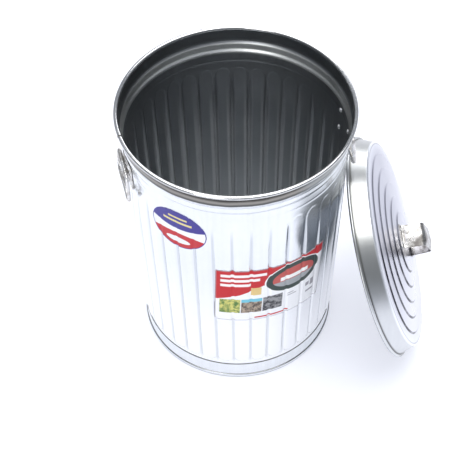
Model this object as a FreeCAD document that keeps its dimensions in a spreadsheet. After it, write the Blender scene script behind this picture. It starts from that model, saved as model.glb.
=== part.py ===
import FreeCAD, Part
import math
import os
import Sketcher

# Galvanised fluted steel bin with two drop handles and a loose lid.
# Frame: +Z up, origin on the floor at the bin's own axis, front towards -Y.
# An azimuth is measured in degrees from the front (-Y) towards +X.
# The lid stands on its edge on the floor and leans on the bin's +X side.

doc = FreeCAD.newDocument("FlutedBin")

# ---------------------------------------------------------------- sizes

SIZES = {
    # bin body
    "sheet_gauge": 0.8,
    "body_height": 577.0,
    "foot_height": 2.0,
    "foot_radius": 192.5,
    "band_top_height": 520.0,
    "band_top_radius": 203.5,
    "crease_height": 502.0,
    "crease_depth": 0.25,
    "lower_step_height": 530.0,
    "lower_step_radius": 206.6,
    "upper_step_height": 547.0,
    "upper_step_radius": 209.6,
    "curl_radius": 3.75,
    "curl_centre_radius": 212.25,
    "curl_nick_width": 1.2,
    "rim_wire_radius": 2.9,
    # flutes
    "flute_count": 37,
    "first_flute_azimuth": 2.14,
    "flute_depth": 2.8,
    "flute_round": 8.0,
    "flute_half_angle": 4.35,
    "flute_top": 483.0,
    "flute_bottom": 58.0,
    # base
    "hoop_height": 45.0,
    "hoop_bead_height": 8.0,
    "hoop_outer_radius": 195.4,
    "hoop_inner_radius": 190.4,
    "pan_floor_height": 22.0,
    "pan_flange_radius": 191.6,
    "pan_corner_radius": 5.0,
    "fit_gap": 0.05,
    # side seam, in the crease behind the left handle
    "seam_pitch_number": 29,
    "seam_width": 8.0,
    "seam_proud": 1.0,
    # drop handles
    "left_flute_number": 29,
    "right_flute_number": 10,
    "plate_flute_top": 446.0,
    "plate_width": 74.0,
    "plate_bottom": 451.0,
    "plate_top": 512.0,
    "plate_corner": 6.0,
    "plate_gap": 0.8,
    "plate_gauge": 1.2,
    "knuckle_height": 488.0,
    "knuckle_axis_radius": 209.8,
    "knuckle_length": 62.0,
    "knuckle_flange": 5.5,
    "knuckle_gauge": 1.1,
    "knuckle_outer_radius": 4.4,
    "knuckle_bore_radius": 3.28,
    "bail_wire_radius": 3.2,
    "bail_top_half_width": 37.0,
    "bail_bottom_half_width": 53.0,
    "bail_drop": 49.0,
    "bail_corner_radius": 8.0,
    "bail_tilt": 2.4,
    "grip_radius": 4.3,
    "grip_bore_radius": 3.25,
    "grip_length": 84.0,
    "upper_rivet_height": 504.0,
    "lower_rivet_height": 461.0,
    "rivet_azimuth_step": 8.0,
    "rivet_head_radius": 4.6,
    "rivet_shank_radius": 2.5,
    "rivet_head_rise": 2.2,
    "rivet_outer_gap": 0.2,
    "rivet_inner_gap": 0.45,
    # lid
    "lid_hem_radius": 222.5,
    "lid_hem_tube_radius": 3.2,
    "lid_hem_wire_radius": 2.35,
    "lid_shoulder_radius": 204.4,
    "lid_shoulder_height": 37.3,
    "lid_shoulder_round": 6.0,
    "lid_ring_count": 5,
    "lid_first_ring_radius": 61.0,
    "lid_ring_pitch": 30.0,
    "lid_ring_rise": 2.2,
    "lid_ring_run": 3.0,
    "lid_crown_rise": 19.0,
    "lid_lean": 20.5,
    "lid_azimuth": 86.7,
    "lid_stand_off": 281.4,
    "lid_side_shift": -8.6,
    "lid_turn": 25.5,
    # lid handle
    "handle_width": 46.0,
    "handle_gauge": 1.6,
    "handle_rise": 42.0,
    "handle_top_half_span": 31.0,
    "handle_foot_half_span": 36.0,
    "handle_foot_length": 16.0,
    "handle_bend_radius": 9.0,
    "handle_ridge": 3.0,
    "handle_rivet_spacing": 26.0,
    # paper labels
    "paper_gap": 0.2,
    "paper_gauge": 0.4,
    "oval_azimuth": -30.9,
    "oval_height": 450.0,
    "oval_half_width": 55.0,
    "oval_half_height": 47.0,
    "label_azimuth": 18.9,
    "label_height": 283.0,
    "label_half_width": 105.0,
    "label_half_height": 78.0,
    "label_tilt": 2.0,
}

sheet = doc.addObject("Spreadsheet::Sheet", "Sizes")
for row, (alias, number) in enumerate(SIZES.items(), start=1):
    sheet.set(f"A{row}", alias)
    sheet.set(f"B{row}", str(number))
    sheet.setAlias(f"B{row}", alias)
doc.recompute()

SUB_PARTS = []


def size(alias):
    """The number in the sheet's cell of that name."""
    return float(getattr(sheet, alias))


def value(expression):
    """The number that an expression in the sheet's names works out to."""
    result = sheet.evalExpression(expression)
    return float(getattr(result, "Value", result))


# ---------------------------------------------------------------- sketch and feature helpers

def origin_plane(body, role):
    for feature in body.Origin.OriginFeatures:
        if feature.Role == role:
            return feature
    raise ValueError(role)


def new_body(label):
    body = doc.addObject("PartDesign::Body", label)
    body.Label = label
    SUB_PARTS.append(body)
    return body


def new_sketch(body, name, role):
    sketch = body.newObject("Sketcher::SketchObject", name)
    sketch.AttachmentSupport = [(origin_plane(body, role), "")]
    sketch.MapMode = "FlatFace"
    return sketch


def bind(sketch, kind, geometry, position, expression):
    """Hold one coordinate of a sketch point at an expression of the sheet."""
    number = value(expression)
    if abs(number) < 1e-9:
        axis = -2 if kind == "DistanceX" else -1
        sketch.addConstraint(Sketcher.Constraint("PointOnObject", geometry, position, axis))
        return
    index = sketch.addConstraint(Sketcher.Constraint(kind, -1, 1, geometry, position, number))
    sketch.setExpression(f"Constraints[{index}]", expression)


def corner_cut(previous, here, following, radius):
    """Tangent points, centre and end angles of the arc that rounds a corner."""
    back = (previous - here).normalize()
    ahead = (following - here).normalize()
    half_angle = back.getAngle(ahead) / 2
    reach = radius / math.tan(half_angle)
    centre = here + (back + ahead).normalize() * (radius / math.sin(half_angle))
    return here + back * reach, here + ahead * reach, centre


def draw_outline(sketch, corners):
    """Closed outline from corners (x, y, radius or None), each an expression of the sheet."""
    points = [FreeCAD.Vector(value(x), value(y), 0) for x, y, _ in corners]
    count = len(points)
    ends = []
    for index, (_, _, radius) in enumerate(corners):
        here = points[index]
        if radius is None:
            ends.append((here, here, None))
            continue
        previous = points[index - 1]
        following = points[(index + 1) % count]
        ends.append(corner_cut(previous, here, following, value(radius)))
    lines = []
    for index in range(count):
        start = ends[index][1]
        stop = ends[(index + 1) % count][0]
        lines.append(sketch.addGeometry(Part.LineSegment(start, stop), False))
    for index, (x, y, radius) in enumerate(corners):
        before = lines[index - 1]
        after = lines[index]
        if radius is None:
            sketch.addConstraint(Sketcher.Constraint("Coincident", before, 2, after, 1))
            bind(sketch, "DistanceX", after, 1, x)
            bind(sketch, "DistanceY", after, 1, y)
            continue
        entry, leave, centre = ends[index]
        middle = centre + (points[index] - centre).normalize() * value(radius)
        arc = sketch.addGeometry(Part.Arc(entry, middle, leave), False)
        arc_start = sketch.getPoint(arc, 1)
        entry_end = 1 if arc_start.distanceToPoint(entry) < 1e-6 else 2
        corner = sketch.addGeometry(Part.Point(points[index]), True)
        sketch.addConstraint(Sketcher.Constraint("Tangent", before, 2, arc, entry_end))
        sketch.addConstraint(Sketcher.Constraint("Tangent", after, 1, arc, 3 - entry_end))
        sketch.addConstraint(Sketcher.Constraint("PointOnObject", corner, 1, before))
        sketch.addConstraint(Sketcher.Constraint("PointOnObject", corner, 1, after))
        bind(sketch, "DistanceX", corner, 1, x)
        bind(sketch, "DistanceY", corner, 1, y)
        rounding = sketch.addConstraint(Sketcher.Constraint("Radius", arc, value(radius)))
        sketch.setExpression(f"Constraints[{rounding}]", radius)


def revolved_body(label, corners):
    """A body of revolution about Z from an outline in the XZ plane."""
    body = new_body(label)
    sketch = new_sketch(body, label + "_outline", "XZ_Plane")
    draw_outline(sketch, corners)
    turn = body.newObject("PartDesign::Revolution", label + "_turn")
    turn.Profile = sketch
    turn.ReferenceAxis = (sketch, ["V_Axis"])
    turn.Angle = 360.0
    sketch.Visibility = False
    return body


def shaped_part(label, shape, placement=None):
    """A part whose shape comes from geometry functions, for forms that no feature makes."""
    feature = doc.addObject("Part::Feature", label)
    feature.Label = label
    feature.Shape = shape
    if placement is not None:
        feature.Placement = placement
    SUB_PARTS.append(feature)
    return feature


# ---------------------------------------------------------------- geometry shared by the bin's parts

Z_AXIS = FreeCAD.Vector(0, 0, 1)
PITCH = 360.0 / size("flute_count")


def outward(azimuth):
    """Unit vector that points away from the bin's axis at an azimuth."""
    angle = math.radians(azimuth)
    return FreeCAD.Vector(math.sin(angle), -math.cos(angle), 0)


def facing(azimuth, height=0.0):
    """Placement whose X runs round the bin, Y points to its axis, for work at an azimuth."""
    return FreeCAD.Placement(FreeCAD.Vector(0, 0, height), FreeCAD.Rotation(Z_AXIS, azimuth))


def flute_azimuth(number):
    return size("first_flute_azimuth") + number * PITCH


def band_radius(height):
    """Outer radius of the plain tapered wall, as between two flutes."""
    share = height / size("band_top_height")
    return size("foot_radius") + (size("band_top_radius") - size("foot_radius")) * share


def revolve_outline(points):
    """Solid of revolution whose seam lies in the crease that the side seam follows."""
    side = outward(flute_azimuth(size("seam_pitch_number")) + PITCH / 2)
    wire = Part.makePolygon([side * x + Z_AXIS * z for x, z in points + points[:1]])
    return Part.Face(wire).revolve(FreeCAD.Vector(0, 0, 0), Z_AXIS, 360)


def flute_section():
    """Radius of a flute's round section, before its crest is levelled off."""
    wall = band_radius(0.5 * (size("flute_top") + size("flute_bottom")))
    half = math.radians(size("flute_half_angle"))
    crest = wall + size("flute_round")
    rise = crest - wall * math.cos(half)
    return (rise ** 2 + (wall * math.sin(half)) ** 2) / (2 * rise)


def flute_top(number):
    """A flute that runs up to a handle plate stops below it; the others reach the band."""
    wrapped = number % int(size("flute_count"))
    for name in ("left_flute_number", "right_flute_number"):
        if abs(wrapped - size(name)) <= 1:
            return size("plate_flute_top")
    return size("flute_top")


def flute_bar(number, offset):
    """One flute as a long round-ended bar, grown by an offset, its seam turned to the axis."""
    radius = flute_section()
    sink = size("flute_round") - radius
    half_chord = math.sqrt(radius ** 2 - sink ** 2)
    low = size("flute_bottom") + half_chord
    high = flute_top(number) - half_chord
    start = FreeCAD.Vector(0, -band_radius(low) - sink, low)
    stop = FreeCAD.Vector(0, -band_radius(high) - sink, high)
    along = (stop - start).normalize()
    inward = FreeCAD.Vector(1, 0, 0).cross(along) * -1
    grown = radius + offset
    quarter = (along + inward).normalize()
    turned = (inward - along).normalize()
    outline = Part.Wire([
        Part.LineSegment(start - along * grown, stop + along * grown).toShape(),
        Part.Arc(stop + along * grown, stop + quarter * grown, stop + inward * grown).toShape(),
        Part.LineSegment(stop + inward * grown, start + inward * grown).toShape(),
        Part.Arc(start + inward * grown, start + turned * grown, start - along * grown).toShape(),
    ])
    bar = Part.Face(outline).revolve(start, along, 360)
    bar.Placement = facing(flute_azimuth(number))
    return bar


def plain_wall(offset, bottom, top):
    """Solid inside the unfluted wall surface, grown by an offset, between two heights."""
    crease = size("crease_height")
    depth = size("crease_depth")
    profile = [
        (bottom, band_radius(bottom)),
        (crease - 2, band_radius(crease)),
        (crease, band_radius(crease) - depth),
        (crease + 2, band_radius(crease)),
        (size("band_top_height"), size("band_top_radius")),
        (size("lower_step_height"), size("lower_step_radius")),
        (size("upper_step_height") - 10, size("lower_step_radius")),
        (size("upper_step_height"), size("upper_step_radius")),
        (top, size("upper_step_radius")),
    ]
    outline = [(radius + offset, height) for height, radius in profile]
    return revolve_outline([(0, bottom)] + outline + [(0, top)])


def levelling_solid(offset, bottom, top):
    """Tapered solid that levels off the crests of the flutes and leaves the neck alone."""
    level = size("flute_depth") + offset
    step = size("flute_top") + 5
    wide = size("upper_step_radius") + 20
    return revolve_outline([
        (0, bottom), (band_radius(bottom) + level, bottom), (band_radius(step) + level, step),
        (wide, step), (wide, top), (0, top)])


def fluted_solid(offset, bottom, top):
    bars = [flute_bar(number, offset) for number in range(int(size("flute_count")))]
    return plain_wall(offset, bottom, top).fuse(bars).common(levelling_solid(offset, bottom, top))


def rivet_places(centre_number):
    """Azimuth and height of the four rivets of a handle plate."""
    places = []
    for side in (-1, 1):
        azimuth = flute_azimuth(centre_number) + side * size("rivet_azimuth_step")
        places.append((azimuth, size("upper_rivet_height")))
        places.append((azimuth, size("lower_rivet_height")))
    return places


def radial_cylinder(azimuth, height, radius, start, length):
    direction = outward(azimuth)
    return Part.makeCylinder(radius, length, direction * start + Z_AXIS * height, direction)


def rivet_holes(radius):
    holes = []
    for name in ("left_flute_number", "right_flute_number"):
        for azimuth, height in rivet_places(int(size(name))):
            holes.append(radial_cylinder(azimuth, height, radius, band_radius(height) - 12, 24))
    return holes


# ---------------------------------------------------------------- bin body

def body_shell():
    """Fluted tapered wall with stepped neck, rolled over the rim wire."""
    gauge = size("sheet_gauge")
    bottom = size("foot_height")
    centre = FreeCAD.Vector(size("curl_centre_radius"), 0, size("body_height") - size("curl_radius"))
    outer = fluted_solid(0, bottom, centre.z)
    inner = fluted_solid(-gauge, bottom, centre.z)
    wall = outer.cut(inner)
    ring = Part.makeTorus(centre.x, size("curl_radius"), Z_AXIS * centre.z, Z_AXIS)
    bore = Part.makeTorus(centre.x, size("rim_wire_radius") + size("fit_gap"), Z_AXIS * centre.z, Z_AXIS)
    nick_azimuth = flute_azimuth(size("seam_pitch_number")) + PITCH / 2
    nick = Part.makeBox(size("curl_nick_width"), 4 * size("curl_radius"), 2 * size("curl_radius") + 2)
    nick.translate(FreeCAD.Vector(-size("curl_nick_width") / 2, -centre.x - 2 * size("curl_radius"), centre.z - 1))
    nick.Placement = facing(nick_azimuth).multiply(nick.Placement)
    shell = wall.fuse(ring).cut(bore).cut(nick)
    return shell.cut(rivet_holes(size("rivet_shank_radius") + size("fit_gap")))


def rim_wire():
    wire = doc.addObject("Part::Torus", "rim_wire")
    wire.setExpression("Radius1", "Sizes.curl_centre_radius")
    wire.setExpression("Radius2", "Sizes.rim_wire_radius")
    wire.setExpression("Placement.Base.z", "Sizes.body_height - Sizes.curl_radius")
    SUB_PARTS.append(wire)


def side_seam():
    """Folded seam that runs down the inside of the wall along one crease."""
    low = size("pan_floor_height") + 4
    high = size("crease_height") - 4
    outer = size("sheet_gauge") + size("fit_gap")
    inner = outer + size("seam_proud")
    strip = revolve_outline([
        (band_radius(low) - inner, low),
        (band_radius(low) - outer, low),
        (band_radius(high) - outer, high),
        (band_radius(high) - inner, high),
    ])
    width = size("seam_width")
    window = Part.makeBox(width, 60, high, FreeCAD.Vector(-width / 2, -230, 0))
    window.Placement = facing(flute_azimuth(size("seam_pitch_number")) + PITCH / 2)
    return strip.common(window)


def base_pan():
    gauge = "Sizes.sheet_gauge"
    rim = "Sizes.pan_flange_radius"
    floor = "Sizes.pan_floor_height"
    foot = "Sizes.foot_height"
    bend = "Sizes.pan_corner_radius"
    revolved_body("base_pan", [
        ("0", floor, None),
        ("0", f"{floor} - {gauge}", None),
        (f"{rim} - {gauge}", f"{floor} - {gauge}", f"{bend} - {gauge}"),
        (f"{rim} - {gauge}", foot, None),
        (rim, foot, None),
        (rim, floor, bend),
    ])


def base_hoop():
    """Band round the foot, folded under the wall and the pan, with a bead at the floor."""
    gauge = "Sizes.sheet_gauge"
    slope = "(Sizes.band_top_radius - Sizes.foot_radius) / Sizes.band_top_height"
    foot = "Sizes.foot_radius + Sizes.fit_gap"
    low = f"{foot} + {slope} * Sizes.foot_height"
    bead = f"{foot} + {slope} * Sizes.hoop_bead_height"
    high = f"{foot} + {slope} * Sizes.hoop_height"
    inner = "Sizes.hoop_inner_radius"
    outer = "Sizes.hoop_outer_radius"
    revolved_body("base_hoop", [
        (inner, "0", None),
        (outer, "0", "1.2"),
        (outer, "Sizes.hoop_bead_height", "1.2"),
        (f"{bead} + {gauge}", "Sizes.hoop_bead_height", None),
        (f"{high} + {gauge}", "Sizes.hoop_height", None),
        (high, "Sizes.hoop_height", None),
        (low, "Sizes.foot_height - Sizes.fit_gap", None),
        (inner, "Sizes.foot_height - Sizes.fit_gap", None),
    ])


# ---------------------------------------------------------------- drop handles

def bent_sheet(offset, gauge, low, high, half_width, corner):
    """Sheet bent to the tapered wall with rounded corners, as seen square on from -Y."""
    ring = revolve_outline([
        (band_radius(low) + offset, low),
        (band_radius(low) + offset + gauge, low),
        (band_radius(high) + offset + gauge, high),
        (band_radius(high) + offset, high),
    ])
    window = Part.makeBox(2 * half_width, 80, high - low, FreeCAD.Vector(-half_width, -240, low))
    ends = [edge for edge in window.Edges if abs(edge.tangentAt(edge.FirstParameter).y) > 0.9]
    return ring.common(window.makeFillet(corner, ends))


def handle_plate(number):
    """Plate that carries a drop handle, riveted to the plain part of the wall."""
    low = size("plate_bottom")
    high = size("plate_top")
    half_width = size("plate_width") / 2
    plate = bent_sheet(size("plate_gap"), size("plate_gauge"), low, high, half_width, size("plate_corner"))
    plate.Placement = facing(flute_azimuth(number))
    return plate.cut(rivet_holes(size("rivet_shank_radius") + size("fit_gap")))


def knuckle(number):
    """Sheet sleeve folded round the bail, with a flange above and below on the plate."""
    middle = size("knuckle_height")
    sleeve = size("knuckle_outer_radius")
    half_length = size("knuckle_length") / 2
    reach = sleeve + size("knuckle_flange")
    seat = size("plate_gap") + size("plate_gauge")
    gauge = size("knuckle_gauge")
    flange = bent_sheet(seat, gauge, middle - reach, middle + reach, half_length, size("plate_corner") / 2)
    along = FreeCAD.Vector(1, 0, 0)
    start = FreeCAD.Vector(-half_length, -size("knuckle_axis_radius"), middle)
    tube = Part.makeCylinder(sleeve, 2 * half_length, start, along)
    bore = Part.makeCylinder(size("knuckle_bore_radius"), 4 * half_length, start - along * half_length, along)
    folded = flange.fuse(tube).cut(bore)
    folded.Placement = facing(flute_azimuth(number))
    return folded


def domed_head(azimuth, height, start, radius, rise, sign):
    """Low dome that stands on a wall at a radius, outward for sign 1 and inward for sign -1."""
    direction = outward(azimuth)
    ball = (radius ** 2 + rise ** 2) / (2 * rise)
    base = direction * start + Z_AXIS * height
    sphere = Part.makeSphere(ball, base + direction * (sign * (rise - ball)))
    return sphere.common(Part.makeCylinder(radius + 1, 2 * rise, base, direction * sign))


def plate_rivets(number):
    """Four rivets of one handle plate, with heads outside the plate and inside the wall."""
    outer_gap = size("rivet_outer_gap")
    inner_gap = size("rivet_inner_gap")
    overlap = 0.5
    radius = size("rivet_head_radius")
    rise = size("rivet_head_rise")
    rivets = []
    for azimuth, height in rivet_places(number):
        inside = band_radius(height) - size("sheet_gauge")
        face = band_radius(height) + size("plate_gap") + size("plate_gauge")
        start = inside - inner_gap - overlap
        length = face + outer_gap + overlap - start
        shank = radial_cylinder(azimuth, height, size("rivet_shank_radius"), start, length)
        outer_head = domed_head(azimuth, height, face + outer_gap, radius, rise, 1)
        inner_head = domed_head(azimuth, height, inside - inner_gap, radius, rise, -1)
        rivets.append(shank.fuse([outer_head, inner_head]))
    return Part.makeCompound(rivets)


def bail_placement(number):
    """The bail's axle lies along X; its loop hangs down and swings a little off the wall."""
    azimuth = flute_azimuth(number)
    axle = outward(azimuth) * size("knuckle_axis_radius") + Z_AXIS * size("knuckle_height")
    swing = FreeCAD.Rotation(FreeCAD.Vector(1, 0, 0), -size("bail_tilt"))
    return FreeCAD.Placement(axle, FreeCAD.Rotation(Z_AXIS, azimuth).multiply(swing))


def grip(number):
    """Rolled sheet sleeve on the bail's lower bar."""
    length = size("grip_length")
    start = FreeCAD.Vector(-length / 2, 0, -size("bail_drop"))
    along = FreeCAD.Vector(1, 0, 0)
    sleeve = Part.makeCylinder(size("grip_radius"), length, start, along)
    bore = Part.makeCylinder(size("grip_bore_radius"), length + 2, start - along, along)
    return sleeve.cut(bore)


def bail(label, number):
    """Closed wire loop that turns in the plate's sleeve and hangs against the wall."""
    body = new_body(label)
    spine = new_sketch(body, label + "_spine", "XZ_Plane")
    top = "Sizes.bail_top_half_width"
    bottom = "Sizes.bail_bottom_half_width"
    drop = "Sizes.bail_drop"
    bend = "Sizes.bail_corner_radius"
    draw_outline(spine, [
        (top, "0", bend),
        (bottom, f"-{drop}", bend),
        (f"-{bottom}", f"-{drop}", bend),
        (f"-{top}", "0", bend),
    ])
    section = new_sketch(body, label + "_section", "YZ_Plane")
    circle = section.addGeometry(Part.Circle(FreeCAD.Vector(0, 0, 0), Z_AXIS, size("bail_wire_radius")), False)
    section.addConstraint(Sketcher.Constraint("Coincident", circle, 3, -1, 1))
    radius = section.addConstraint(Sketcher.Constraint("Radius", circle, size("bail_wire_radius")))
    section.setExpression(f"Constraints[{radius}]", "Sizes.bail_wire_radius")
    pipe = body.newObject("PartDesign::AdditivePipe", label + "_pipe")
    pipe.Profile = section
    pipe.Spine = spine
    spine.Visibility = False
    section.Visibility = False
    body.Placement = bail_placement(number)


# ---------------------------------------------------------------- lid

def lid_placement():
    """Lid frame to bin frame: the lid's axis points away from the bin and a little up."""
    lean = math.radians(size("lid_lean"))
    away = outward(size("lid_azimuth"))
    axis = away * math.cos(lean) + Z_AXIS * math.sin(lean)
    back = Z_AXIS.cross(away)
    slope = axis.cross(back)
    turn = FreeCAD.Rotation(back, slope, axis, "ZXY")
    lowest = size("lid_hem_radius") - size("lid_hem_tube_radius")
    floor = (lowest * math.cos(lean) + size("lid_hem_tube_radius")
             - size("lid_hem_tube_radius") * math.sin(lean))
    base = away * size("lid_stand_off") + back * size("lid_side_shift") + Z_AXIS * floor
    return FreeCAD.Placement(base, turn.multiply(FreeCAD.Rotation(Z_AXIS, size("lid_turn"))))


def lid_face_points():
    """Corners of the lid's top from the shoulder to the centre, as (radius, height)."""
    count = int(size("lid_ring_count"))
    run = "Sizes.lid_ring_run"
    rise = "Sizes.lid_ring_rise"
    shoulder = "Sizes.lid_shoulder_radius"
    flat_rise = f"(Sizes.lid_crown_rise - {count} * {rise})"
    points = []
    for index in reversed(range(count)):
        radius = f"(Sizes.lid_first_ring_radius + {index} * Sizes.lid_ring_pitch)"
        climbed = f"Sizes.lid_shoulder_height + {count - 1 - index} * {rise}"
        slope = f"{flat_rise} * ({shoulder} - {radius}) / ({shoulder} - Sizes.lid_first_ring_radius)"
        foot = f"{climbed} + {slope}"
        points.append((f"{radius} + {run} / 2", foot))
        points.append((f"{radius} - {run} / 2", f"{foot} + {rise}"))
    return points


def lid_shell():
    """Domed lid with stepped rings, a flared skirt and a rolled hem."""
    gauge = "Sizes.sheet_gauge"
    shoulder = "Sizes.lid_shoulder_radius"
    high = "Sizes.lid_shoulder_height"
    bend = "Sizes.lid_shoulder_round"
    crown = f"{high} + Sizes.lid_crown_rise"
    tube = "Sizes.lid_hem_tube_radius"
    skirt = f"Sizes.lid_hem_radius - 2 * {tube} + 1"
    face = lid_face_points()
    top = [("0", crown, None)]
    top += [(x, y, None) for x, y in reversed(face)]
    top += [(shoulder, high, bend), (f"{skirt} + {gauge}", tube, None)]
    underside = [(skirt, tube, None), (f"{shoulder} - {gauge}", f"{high} - {gauge}", f"{bend} - {gauge}")]
    underside += [(x, f"{y} - {gauge}", None) for x, y in face]
    underside += [("0", f"{crown} - {gauge}", None)]
    body = revolved_body("lid_shell", top + underside)
    hem = body.newObject("PartDesign::AdditiveTorus", "lid_hem_roll")
    hem.setExpression("Radius1", f"Sizes.lid_hem_radius - {tube}")
    hem.setExpression("Radius2", tube)
    hem.setExpression("AttachmentOffset.Base.z", tube)
    hem.AttachmentSupport = [(origin_plane(body, "XY_Plane"), "")]
    hem.MapMode = "FlatFace"
    hollow = body.newObject("PartDesign::SubtractiveTorus", "lid_hem_hollow")
    hollow.setExpression("Radius1", f"Sizes.lid_hem_radius - {tube}")
    hollow.setExpression("Radius2", f"{tube} - {gauge}")
    hollow.setExpression("AttachmentOffset.Base.z", tube)
    hollow.AttachmentSupport = [(origin_plane(body, "XY_Plane"), "")]
    hollow.MapMode = "FlatFace"
    return body


def lid_hem_wire(placement):
    """Wire sealed in the lid's rolled hem."""
    wire = doc.addObject("Part::Torus", "lid_hem_wire")
    wire.setExpression("Radius1", "Sizes.lid_hem_radius - Sizes.lid_hem_tube_radius")
    wire.setExpression("Radius2", "Sizes.lid_hem_wire_radius")
    middle = FreeCAD.Vector(0, 0, size("lid_hem_tube_radius"))
    wire.Placement = placement.multiply(FreeCAD.Placement(middle, FreeCAD.Rotation()))
    SUB_PARTS.append(wire)


def strap_path(height):
    """Side view of the lid handle from foot to foot, with round bends."""
    foot = size("handle_foot_half_span")
    top = size("handle_top_half_span")
    bend = size("handle_bend_radius")
    corners = [
        FreeCAD.Vector(0, -foot, height),
        FreeCAD.Vector(0, -top, height + size("handle_rise")),
        FreeCAD.Vector(0, top, height + size("handle_rise")),
        FreeCAD.Vector(0, foot, height),
    ]
    edges = []
    start = corners[0]
    for index in (1, 2):
        here = corners[index]
        entry, leave, centre = corner_cut(corners[index - 1], here, corners[index + 1], bend)
        middle = centre + (here - centre).normalize() * bend
        edges.append(Part.LineSegment(start, entry).toShape())
        edges.append(Part.Arc(entry, middle, leave).toShape())
        start = leave
    edges.append(Part.LineSegment(start, corners[3]).toShape())
    return Part.Wire(edges)


def lid_handle(placement):
    """Bent strap with a ridge along its middle and two flat riveted feet."""
    crown = size("lid_shoulder_height") + size("lid_crown_rise") + size("fit_gap")
    half = size("handle_width") / 2
    gauge = size("handle_gauge")
    ridge = size("handle_ridge")
    path = strap_path(crown)
    start = path.OrderedVertexes[0].Point
    run = (path.OrderedVertexes[1].Point - start).normalize()
    outer = run.cross(FreeCAD.Vector(1, 0, 0)).normalize()
    if outer.y > 0:
        outer = outer * -1
    side = FreeCAD.Vector(1, 0, 0)
    section = [
        start - side * half,
        start + outer * ridge,
        start + side * half,
        start + side * half + outer * gauge,
        start + outer * (ridge + gauge),
        start - side * half + outer * gauge,
    ]
    profile = Part.makePolygon(section + section[:1])
    arch = path.makePipeShell([profile], True, True)
    foot_start = size("handle_foot_half_span") - 2
    length = size("handle_foot_length") + 2
    feet = []
    for sign in (-1, 1):
        low = foot_start if sign > 0 else -foot_start - length
        feet.append(Part.makeBox(2 * half, length, gauge, FreeCAD.Vector(-half, low, crown)))
    strap = arch.fuse(feet)
    for centre in handle_rivet_places():
        strap = strap.cut(Part.makeCylinder(size("rivet_shank_radius") + size("fit_gap"), 12, centre - Z_AXIS * 6))
    shaped_part("lid_handle", strap.removeSplitter(), placement)


def handle_rivet_places():
    """Centres of the four lid rivets, on the crown's top, in the lid's frame."""
    crown = size("lid_shoulder_height") + size("lid_crown_rise")
    reach = size("handle_foot_half_span") + size("handle_foot_length") / 2
    half = size("handle_rivet_spacing") / 2
    return [FreeCAD.Vector(x, y, crown) for x in (-half, half) for y in (-reach, reach)]


def lid_handle_rivets(placement):
    rivets = []
    for centre in handle_rivet_places():
        under = centre.z - size("sheet_gauge")
        over = centre.z + size("fit_gap") + size("handle_gauge")
        shank = Part.makeCylinder(size("rivet_shank_radius"), over - under, FreeCAD.Vector(centre.x, centre.y, under))
        heads = []
        for level, sign in ((over, 1), (under, -1)):
            rise = size("rivet_head_rise") * 0.8
            radius = size("rivet_head_radius") * 0.8
            ball = (radius ** 2 + rise ** 2) / (2 * rise)
            middle = FreeCAD.Vector(centre.x, centre.y, level + sign * (rise - ball))
            base = FreeCAD.Vector(centre.x, centre.y, level)
            cap = Part.makeCylinder(radius + 1, 2 * rise, base, Z_AXIS * sign)
            heads.append(Part.makeSphere(ball, middle).common(cap))
        rivets.append(shank.fuse(heads))
    shaped_part("lid_handle_rivets", Part.makeCompound(rivets), placement)


def pierce_lid(shell):
    """Rivet holes through the lid's crown."""
    sketch = new_sketch(shell, "lid_rivet_holes", "XY_Plane")
    for centre in handle_rivet_places():
        middle = FreeCAD.Vector(centre.x, centre.y, 0)
        radius = size("rivet_shank_radius") + size("fit_gap")
        sketch.addGeometry(Part.Circle(middle, Z_AXIS, radius), False)
    pocket = shell.newObject("PartDesign::Pocket", "lid_rivet_pocket")
    pocket.Profile = sketch
    pocket.Type = "ThroughAll"
    pocket.Midplane = True
    sketch.Visibility = False


# ---------------------------------------------------------------- paper labels

def paper(azimuth, window, low, high):
    """Thin sheet stretched over the crests of the flutes, inside a window cut square on."""
    inner = size("flute_depth") + size("paper_gap")
    outer = inner + size("paper_gauge")
    ring = revolve_outline([
        (band_radius(low) + inner, low),
        (band_radius(low) + outer, low),
        (band_radius(high) + outer, high),
        (band_radius(high) + inner, high),
    ])
    window.Placement = facing(azimuth).multiply(window.Placement)
    return ring.common(window)


def oval_sticker():
    ellipse = Part.Ellipse(FreeCAD.Vector(0, 0, 0), size("oval_half_width"), size("oval_half_height"))
    face = Part.Face(Part.Wire([ellipse.toShape()]))
    window = face.extrude(FreeCAD.Vector(0, 0, 80))
    square_on = FreeCAD.Rotation(FreeCAD.Vector(1, 0, 0), 90)
    window.Placement = FreeCAD.Placement(FreeCAD.Vector(0, -150, size("oval_height")), square_on)
    return paper(size("oval_azimuth"), window, size("oval_height") - 80, size("oval_height") + 80)


def front_label():
    half_width = size("label_half_width")
    half_height = size("label_half_height")
    corner = FreeCAD.Vector(-half_width, -80, -half_height)
    window = Part.makeBox(2 * half_width, 80, 2 * half_height, corner)
    tilt = FreeCAD.Rotation(FreeCAD.Vector(0, 1, 0), size("label_tilt"))
    window.Placement = FreeCAD.Placement(FreeCAD.Vector(0, -150, size("label_height")), tilt)
    return paper(size("label_azimuth"), window, size("label_height") - 120, size("label_height") + 120)


# ---------------------------------------------------------------- assembly

def build():
    shaped_part("body_shell", body_shell())
    rim_wire()
    shaped_part("side_seam", side_seam())
    base_pan()
    base_hoop()
    for side in ("left", "right"):
        number = int(size(side + "_flute_number"))
        shaped_part(side + "_handle_plate", handle_plate(number))
        shaped_part(side + "_plate_rivets", plate_rivets(number))
        shaped_part(side + "_knuckle", knuckle(number))
        bail(side + "_bail", number)
        shaped_part(side + "_grip", grip(number), bail_placement(number))
    shaped_part("oval_sticker", oval_sticker())
    shaped_part("front_label", front_label())
    placement = lid_placement()
    shell = lid_shell()
    pierce_lid(shell)
    shell.Placement = placement
    lid_hem_wire(placement)
    lid_handle(placement)
    lid_handle_rivets(placement)
    doc.recompute()


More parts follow.
